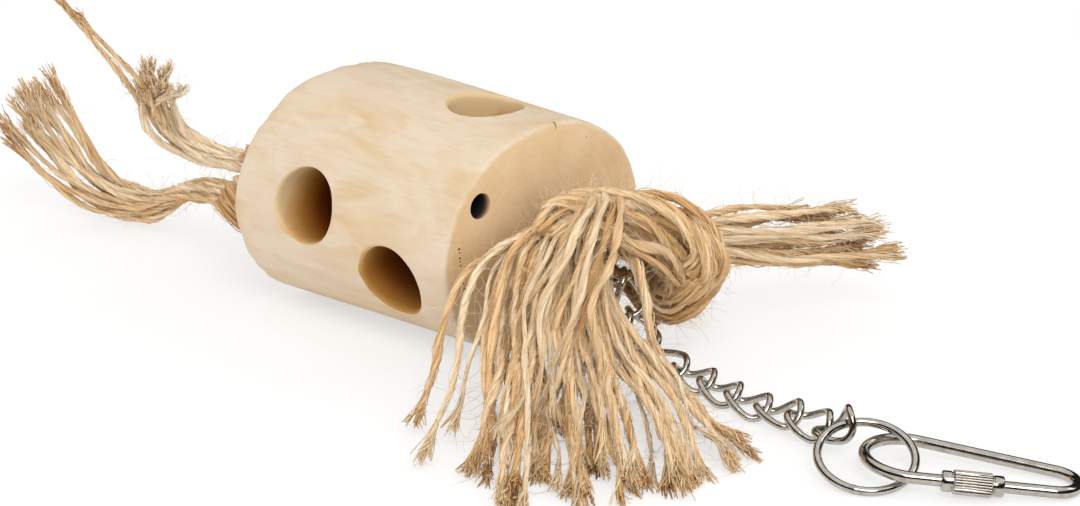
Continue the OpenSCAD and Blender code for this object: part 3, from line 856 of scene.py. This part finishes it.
def roll(bunch, route, radius, outer, inner, turns, lead, tones):
    # One turn of a knot: twines side by side round the route, over a filled middle whose dark tone is painted
    # shade in the gaps
    path, way = evenly(curveThrough(route, np.linspace(0, 1, 60)), 1.5)
    sides, ups = (f[0] for f in framesAlong(path[None]))
    rng = bunch.rng
    for i in range(outer + inner):
        out = radius - jute["thick"] * 0.5 if i < outer else radius * 0.45
        a = 2 * math.pi * (i / outer if i < outer else i / inner) + 2 * math.pi * turns * way / way[-1]
        a = a + 0.35 * smoothNoise(rng, len(way), 5)
        out = out + rng.uniform(-1.1, 0.5) + 0.8 * smoothNoise(rng, len(way), 5)
        line = path + sides * (np.cos(a) * out)[:, None] + ups * (np.sin(a) * out)[:, None]
        points = [line[0] + d for d in lead] + list(line[::4])
        bunch.twine(points, rng.choice(tones), tip=False, wander=1.1, thick=rng.uniform(0.85, 1.15))
    # The middle's low tone is painted shade, seen between the twines
    core = path[None]
    bunch.add(core, np.full(core.shape[:2], radius * 0.55), 10, np.array([0.3]), way)


def crossed(bunch, routes, count, tones, spread):
    # A few loose twines laid over a knot, between two given edges
    first, last = (np.array(r, float) for r in routes)
    rng = bunch.rng
    for i in range(count):
        s = (i + 0.5) / count
        points = first * (1 - s) + last * s + rng.uniform(-1, 1, first.shape) * spread
        bunch.twine(list(points), rng.choice(tones), tip=False, wander=0.8, thick=rng.uniform(0.9, 1.1))


# Routes of the twines, listed: three of them make a fan, and two are the edges of a strip

nearOver = [[15, -14, 43], [15, -4, 48], [24, 8, 49], [38, 17, 46], [48, 21, 37], [47, 17, 28]]
nearUnder = [[48, 19, 30], [45, 16, 24], [37, 17, 20], [29, 20, 24], [28, 22, 33], [33, 26, 39]]
nearRoot = [[10, 3, 38], [17, 9, 39], [24, 15, 37], [31, 20, 33]]
frontFan = [
    [[9, -15, 45], [3, -36, 40], [4, -51, 26], [9, -59, 12], [19, -80, 2]],
    [[17, -2, 46], [23, -16, 36], [34, -36, 22], [53, -60, 12], [75, -92, 2]],
    [[26, 6, 42], [31, -5, 27], [49, -11, 15], [76, -20, 7], [101, -32, 2]]]
sideFan = [
    [[33, 26, 42], [38, 48, 42], [41, 62, 41], [45, 77, 40]],
    [[38, 26, 38], [46, 48, 34], [53, 68, 31], [65, 90, 29]],
    [[42, 26, 32], [48, 48, 25], [56, 68, 20], [70, 92, 17]]]
farOver = [[-123, -20, 30], [-112, -18, 24], [-102, -8, 23], [-99, 6, 29], [-101, 10, 40]]
farUnder = [[-99, 8, 36], [-104, 1, 46], [-110, -9, 43], [-124, -10, 38]]
lowFan = [
    [[-124, -24, 30], [-151, -18, 24], [-176, -14, 13], [-204, -20, 16], [-221, -39, 37]],
    [[-124, -18, 28], [-152, -12, 21], [-177, -10, 9], [-205, -15, 14], [-222, -32, 50]],
    [[-124, -14, 31], [-151, -5, 25], [-174, -5, 13], [-198, -8, 20], [-217, -22, 63]]]
longFan = [
    [[-126, -16, 37], [-144, -16, 36], [-151, -25, 43], [-146, -47, 69], [-140, -80, 107]],
    [[-126, -13, 38], [-143, -14, 38], [-148, -24, 46], [-140, -48, 73], [-129, -82, 107]],
    [[-126, -10, 39], [-142, -12, 39], [-145, -24, 48], [-133, -49, 76], [-117, -84, 107]]]
tuftFan = [
    [[-126, -16, 36], [-143, -18, 35], [-149, -26, 44], [-148, -36, 55], [-140, -44, 69]],
    [[-126, -12, 39], [-141, -14, 39], [-147, -23, 48], [-145, -31, 60], [-136, -40, 76]],
    [[-126, -8, 39], [-138, -11, 41], [-142, -20, 50], [-138, -26, 60], [-127, -32, 72]]]


nearHeel = [[[13, 0, 48], [25, 4, 51], [36, 8, 48], [45, 10, 40], [47, 12, 28], [39, 15, 17]],
            [[17, 0, 43], [24, 5, 43], [30, 9, 40], [36, 11, 33], [40, 13, 24], [31, 16, 17]]]
rightEdge = [[[25, 5, 42], [35, 1, 38], [42, -3, 29], [50, -8, 17], [70, -17, 7], [96, -31, 2]],
             [[28, 4, 41], [39, 0, 36], [46, -5, 28], [55, -10, 16], [75, -18, 7], [102, -32, 2]]]
behindChain = [[[12, 4, 36], [20, 10, 30], [27, 15, 22], [34, 17, 15]],
               [[12, 2, 32], [19, 9, 26], [25, 14, 17], [33, 16, 11]]]
paleStrand = [[[30, -20, 29], [43, -28, 20], [41, -36, 10], [44, -56, 2]],
              [[31, -18, 30], [45, -26, 21], [43, -35, 11], [47, -55, 2]]]
overChain = [[[16, -12, 42], [26, -9, 45], [35, -4, 42], [42, 3, 37], [45, 10, 28]],
             [[18, -8, 46], [28, -5, 49], [38, 0, 45], [45, 8, 39], [47, 14, 30]]]
headFan = [
    [[12, 2, 50], [19, -9, 53], [21, -19, 46], [21, -29, 37], [23, -39, 26], [29, -52, 13], [36, -64, 3]],
    [[14, 7, 52], [24, -3, 54], [28, -13, 48], [30, -22, 39], [33, -32, 27], [40, -46, 14], [49, -60, 3]],
    [[17, 12, 53], [29, 4, 54], [35, -6, 49], [39, -14, 40], [43, -24, 28], [52, -38, 14], [64, -54, 3]]]
nearWrap = [[[40, 24, 49], [52, 20, 45], [57, 20, 37], [53, 20, 25], [42, 19, 16], [30, 19, 13]],
            [[36, 20, 46], [47, 15, 44], [52, 14, 37], [48, 15, 28], [39, 17, 21], [29, 19, 17]]]


def makeFront():
    front = Bunch(11)
    groups = [(0.0, 1, 1.0, 0), (0.12, 1, 1.08, 0), (0.3, 4, 0.8, 0), (0.44, 7, 1.04, 0.1),
              (0.5, 4, 0.66, -1.0), (0.6, 4, 0.97, -0.2), (0.68, 4, 0.6, -1.0), (0.76, 7, 1.0, 0.2),
              (0.88, 8, 1.12, 0.2), (0.99, 3, 1.0, 0)]
    clumpedTassel(front, frontFan, [4, 5, 6, 6, 4], [0.3, -0.3, 0.9], groups,
                  [([16, 14, 2], 1.5), ([9, 9, 6], 1.0), ([3, 3, 6], 0.8)], [0.46, 0.56, 0.64, 0.72, 0.82])
    crossed(front, rightEdge, 3, [0.5, 0.7], 0.9)
    crossed(front, paleStrand, 1, [0.95], 0.4)
    front.piece("front_twines", nearJute, "front_tassel")
    tassel(front, frontFan, [5, 6, 7, 7, 5], [0.3, -0.3, 0.9], 9, [([14, 12, 2], 1.5), ([6, 6, 6], 1.0)],
           [0.6, 0.8, 0.95], wander=2.0, reach=0.6, thick=0.5)
    front.fuzz(1900, 5, 15)
    front.fuzz(50, 14, 26, 0.08, 0.9)
    front.piece("front_loose_fibres", nearJute, "front_tassel")


def makeSide():
    side = Bunch(47)
    # The side tassel's tones are a step paler: painted light on twines that lie in shade
    tassel(side, sideFan, [5, 6, 7, 9], [0.8, 0, 0.6], 21, [([-1, -12, 1], 1.0)], [0.56, 0.64, 0.72, 0.8],
           reach=0.3)
    side.fuzz(420, 4, 12)
    side.piece("side_twines", nearJute, "side_tassel")


def makeNearKnot():
    knot = Bunch(29)
    roll(knot, nearOver, 7.7, 18, 3, 0.45, [(-10, 6, -6), (-4, 2, -2)], [0.42, 0.52, 0.6, 0.7])
    # The under turn and the root get darker tones: painted shade inside the knot
    roll(knot, nearUnder, 7.2, 15, 3, 0.4, [], [0.34, 0.44, 0.54])
    roll(knot, nearRoot, 6.2, 11, 2, 0.3, [(-12, -3, -1)], [0.3, 0.42])
    crossed(knot, nearHeel, 7, [0.45, 0.55, 0.68], 1.3)
    # Twines behind the chain in dark tones: painted shade under the knot
    crossed(knot, behindChain, 6, [0.2, 0.35, 0.45], 0.9)
    crossed(knot, overChain, 3, [0.5, 0.62, 0.74], 1.6)
    tassel(knot, headFan, [1, 2, 3, 4, 5, 5, 3], [0.3, -0.3, 0.9], 9, [([-3, 2, -9], 1.0)],
           [0.55, 0.66, 0.78], wander=1.3, reach=0.3)
    crossed(knot, nearWrap, 7, [0.4, 0.5, 0.62], 1.3)
    knot.piece("clip_end_rolls", nearJute, "clip_end_knot")
    knot.fuzz(1900, 5, 15)
    knot.piece("clip_end_loose_fibres", nearJute, "clip_end_knot")


def makeFarEnd():
    far = Bunch(31)
    roll(far, farOver, 7.4, 16, 3, 0.4, [], [0.35, 0.5])
    roll(far, farUnder, 7.0, 14, 3, 0.4, [], [0.35, 0.5])
    far.fuzz(220, 4, 10)
    far.piece("far_rolls", farJute, "far_knot")

    low = Bunch(83)
    tassel(low, lowFan, [4, 5, 6, 8, 9], [0.2, 0.6, 0.77], 15, [([13, 4, 0], 1.0)], [0.5, 0.6, 0.7],
           reach=0.3)
    low.fuzz(300, 4, 10)
    low.piece("low_twines", farJute, "low_tassel")

    high = Bunch(137)
    lead = [([12, 2, 0], 0.6)]
    tassel(high, longFan, [1, 1, 1, 1, 1], [0, 0.8, 0.6], 2, lead, [0.5], wander=0.35, thick=0.8)
    tassel(high, tuftFan, [3, 3, 4, 4, 6], [0, 0.8, 0.6], 11, lead, [0.85, 1.0], wander=1.5, reach=0.25)
    high.fuzz(260, 4, 9)
    high.piece("high_twines", farJute, "high_tassel")


makeFront()
makeSide()
makeNearKnot()
makeFarEnd()
print("jute made")


# Chain, ring and screw link

chain = {"wire": 2.3, "clear": 0.05, "length": 17.4, "width": 13.2, "twist": 90, "play": 0.4,
         "foot": (30.7, 2.95), "hanging": 3, "lastYaw": -16.1, "lastRoll": 36,
         # Yaw, pitch down and roll of each link in view, from the knot. The ring gives the last one's pitch
         "turns": [(0, 80, 0), (6.4, 56, 0), (6.7, 22, 0), (-10.7, 1.9, 0), (-14.7, 0, 0), (-6.6, 0, 0),
                   (-3.6, -8.1, 6), (-13, -0.7, 18)],
         "coreTurns": [(200, -50, 0), (182, 9, 0)], "coreStraight": 9}


def platedSteel(name, colour, roughness, grit):
    # Nickel-plated steel wire: bright, slightly warm, with small scuffs
    material, tree = newMaterial(name)
    place = addNode(tree, "TexCoord")
    scuffs = addNode(tree, "TexNoise", {"Vector": place.outputs["Object"], "Scale": 1000 / grit,
                                        "Detail": 4.0, "Roughness": 0.7})
    rough = addNode(tree, "MapRange", {"Value": scuffs, "From Min": 0.3, "From Max": 0.75,
                                       "To Min": roughness * 0.7, "To Max": roughness * 1.7})
    tint = addNode(tree, "ValToRGB", {"Fac": scuffs}, [(0.3, colour[0]), (0.7, colour[1])])
    bump = addNode(tree, "Bump", {"Height": scuffs, "Strength": 0.12, "Distance": 0.0001})
    finishMaterial(tree, {"Base Color": tint, "Metallic": 1.0, "Roughness": rough, "Normal": bump})
    return material


chainSteel = platedSteel("nickel-plated chain wire", ("#a39c92", "#c8c2b8"), 0.13, 1.2)
ringSteel = platedSteel("nickel-plated ring wire", ("#a8a198", "#cdc8bf"), 0.1, 2.0)
clipSteel = platedSteel("nickel-plated screw link wire", ("#a59e94", "#cac4ba"), 0.11, 2.5)


def linkCourse(count):
    half, bow = (chain["length"] - chain["wire"]) / 2, (chain["width"] - chain["wire"]) / 2
    a = roundTurn(count)
    x = (half - bow) * np.sin(a) / np.maximum(np.abs(np.sin(a)), 0.35) + bow * np.sin(a)
    y = bow * np.cos(a)
    t = math.radians(chain["twist"] / 2) * x / half
    return np.stack([x, y * np.cos(t), y * np.sin(t)], 1)


def linkMesh(middle, turn, count, sides):
    course = turned(linkCourse(count), turn[2], turn[1], turn[0]) + middle
    off = np.abs(np.arange(count) / count - 0.5)
    weld = 1 + 0.09 * np.exp(-(off / 0.012) ** 2) - 0.03 * np.exp(-((off - 0.03) / 0.01) ** 2)
    # The wire is drawn a hair thinner, so that links at full swing cut each other less
    radii = weld * (chain["wire"] / 2 - chain["clear"])
    return sweepTubes(course[None], radii[None], sides, closed=True)


def aimed(yaw, pitch):
    a, b = math.radians(yaw), math.radians(pitch)
    return np.array([math.cos(a) * math.cos(b), math.sin(a) * math.cos(b), -math.sin(b)])


def linkJoints(turns, foot):
    # Where each link holds the one before it, and the end of the last
    joints = [np.array(foot, float)]
    for yaw, pitch, _ in turns:
        joints.append(joints[-1] + linkStep * aimed(yaw, pitch))
    return joints


def metalPiece(name, parts, material, body, node):
    piece = meshPiece(name, *joined(parts), material, True)
    piece.data.set_sharp_from_angle(angle=math.radians(35))
    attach(piece, body)
    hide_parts(node)


ring = {"outer": 30.4, "wire": 2.6, "tilt": 20, "yaw": 40.2, "heldAt": 108, "weldAt": 250, "steps": 160}
linkStep = chain["length"] - 2 * chain["wire"] - chain["play"]
ringRadius = (ring["outer"] - ring["wire"]) / 2


def placeChain():
    # The chain hangs from the knot, lies on the floor, and its last link rises to the tilted ring
    lying = (chain["width"] - chain["wire"]) * 0.26 + chain["wire"] / 2
    falls = [-aimed(*turn[:2])[2] for turn in chain["turns"][:chain["hanging"]]]
    foot = (*chain["foot"], lying + linkStep * sum(falls))
    held = math.radians(ring["heldAt"])
    spoke = turned(np.array([math.cos(held), math.sin(held), 0]) * ringRadius, ring["tilt"], 0, ring["yaw"])
    ringHeight = ringRadius * math.sin(math.radians(ring["tilt"])) + ring["wire"] / 2
    grip = (ring["wire"] + chain["play"]) / 2
    rise = ringHeight + spoke[2] - linkJoints(chain["turns"], foot)[-1][2]
    pitch = -math.degrees(math.asin(rise / (linkStep - grip)))
    turns = chain["turns"] + [(chain["lastYaw"], pitch, chain["lastRoll"])]
    return foot, turns, linkJoints(turns, foot)[-1] - aimed(chain["lastYaw"], pitch) * grip - spoke


chainFoot, linkTurns, ringMiddle = placeChain()


def linkMeshes(turns, count, sides):
    joints = linkJoints(turns, chainFoot)
    return [linkMesh((a + b) / 2, turn, count, sides) for a, b, turn in zip(joints, joints[1:], turns)]


def makeChain():
    for i, part in enumerate(linkMeshes(linkTurns, 96, 16)):
        name = "link_%d" % (i + 1)
        metalPiece("chain_" + name, [part], chainSteel, name, name)
    axisPitch = -math.degrees(math.atan(axisRise()))
    coreTurns = chain["coreTurns"] + [(180, axisPitch, 0)] * chain["coreStraight"]
    metalPiece("chain_in_log", linkMeshes(coreTurns, 48, 10), chainSteel, "toy", "core_chain")


makeChain()


def makeRing():
    a = roundTurn(ring["steps"])
    flat = np.stack([np.cos(a), np.sin(a), a * 0], 1) * ringRadius
    course = turned(flat, ring["tilt"], 0, ring["yaw"]) + ringMiddle
    off = np.degrees(a) - ring["weldAt"]
    weld = 1 + 0.05 * np.exp(-(off / 2.2) ** 2) - 0.04 * np.exp(-((np.abs(off) - 5) / 1.6) ** 2)
    tube = sweepTubes(course[None], (ring["wire"] / 2 * weld)[None], 20, closed=True)
    metalPiece("welded_ring", [tube], ringSteel, "ring", "ring")


makeRing()

screwLink = {"onRing": (9.5, 8, -0.6), "roll": -1, "yaw": 28, "wide": 13, "narrow": 7.2, "span": 40,
             "wire": 3.5, "gateStart": 12.5, "gateGap": 8, "sleeveLength": 17.5, "sleeveWidth": 7.0,
             "collar": 3.0, "collarStep": 0.45, "chamfer": 0.45, "bore": 0.05, "grooves": 26,
             "grooveDepth": 0.34}
screwMiddle = ringMiddle + screwLink["onRing"]
taper = math.asin((screwLink["wide"] - screwLink["narrow"]) / screwLink["span"])
legLength = screwLink["span"] * math.cos(taper)


def onLeg(distance, side=-1):
    # A point on a leg, so far from where it leaves the wide bend
    start = screwLink["wide"] * np.array([math.sin(taper), side * math.cos(taper)])
    heading = np.array([math.cos(taper), -side * math.sin(taper)])
    return start + heading * np.asarray(distance, float)[..., None]


def inScrewLink(points):
    # Its narrow end comes down to the floor
    drop = (screwMiddle[2] - screwLink["wire"] / 2) / (screwLink["span"] + screwLink["narrow"])
    return turned(points, screwLink["roll"], math.degrees(math.asin(drop)), screwLink["yaw"]) + screwMiddle


def makeScrewLink():
    s = screwLink
    bend = math.pi / 2 - taper
    wide = np.linspace(-bend, bend - 2 * math.pi, 60)[1:-1]
    narrow = np.linspace(bend, -bend, 40)[1:-1]
    flat = np.concatenate([
        onLeg(np.linspace(s["gateStart"], 0, 26)),
        s["wide"] * onCircle(wide),
        onLeg(np.linspace(0, legLength, 30), 1),
        s["narrow"] * onCircle(narrow) + [s["span"], 0],
        onLeg(np.linspace(legLength, s["gateStart"] + s["gateGap"], 30))])
    course = inScrewLink(np.column_stack([flat, np.zeros(len(flat))]))
    girth = np.full(len(course), s["wire"] / 2)
    girth[[0, -1]] *= 0.82
    tube = sweepTubes(course[None], girth[None], 24)
    metalPiece("screw_link_wire", [tube], clipSteel, "screw_link", "screw_link")


def sleeveOutline():
    # Distance along and radius: a plain collar, the neck beside it and the grooved middle, then the same back
    s = screwLink
    c, ends = s["collar"], s["chamfer"]
    big, small = s["sleeveWidth"] / 2, s["sleeveWidth"] / 2 - s["collarStep"]
    bore = s["wire"] / 2 + s["bore"]
    half = [(0, bore), (0, small - ends), (ends * 0.4, small - 0.15), (ends, small), (c - 0.35, small),
            (c - 0.1, small - 0.2), (c + 0.1, small - 0.2), (c + 0.25, big - 0.45), (c + 0.6, big)]
    return half + [(s["sleeveLength"] - x, r) for x, r in reversed(half)]


def makeSleeve():
    s = screwLink
    begin = s["gateStart"] - (s["sleeveLength"] - s["gateGap"]) / 2
    profile, count = sleeveOutline(), s["grooves"] * 8
    a = roundTurn(count)
    tooth = np.abs(np.arange(count) % 8 - 4) / 4
    groove = s["grooveDepth"] * (1 - np.clip(tooth * 1.6, 0, 1))
    heading = onLeg(1.0) - onLeg(0.0)
    across = np.array([-heading[1], heading[0]])
    rings = []
    for x, r in profile:
        radius = r - (groove if r == s["sleeveWidth"] / 2 else 0)
        flat = onLeg(begin + x) + across * (np.cos(a) * radius)[:, None]
        rings.append(np.column_stack([flat, np.sin(a) * radius]))
    points = inScrewLink(np.concatenate(rings))
    index = np.arange(len(profile) * count).reshape(len(profile), count)
    quads = ringQuads(index, np.roll(index, -1, 0))
    metalPiece("grooved_sleeve", [(points, quads, [])], clipSteel, "sleeve", "sleeve")


makeScrewLink()
makeSleeve()
print("metal made")
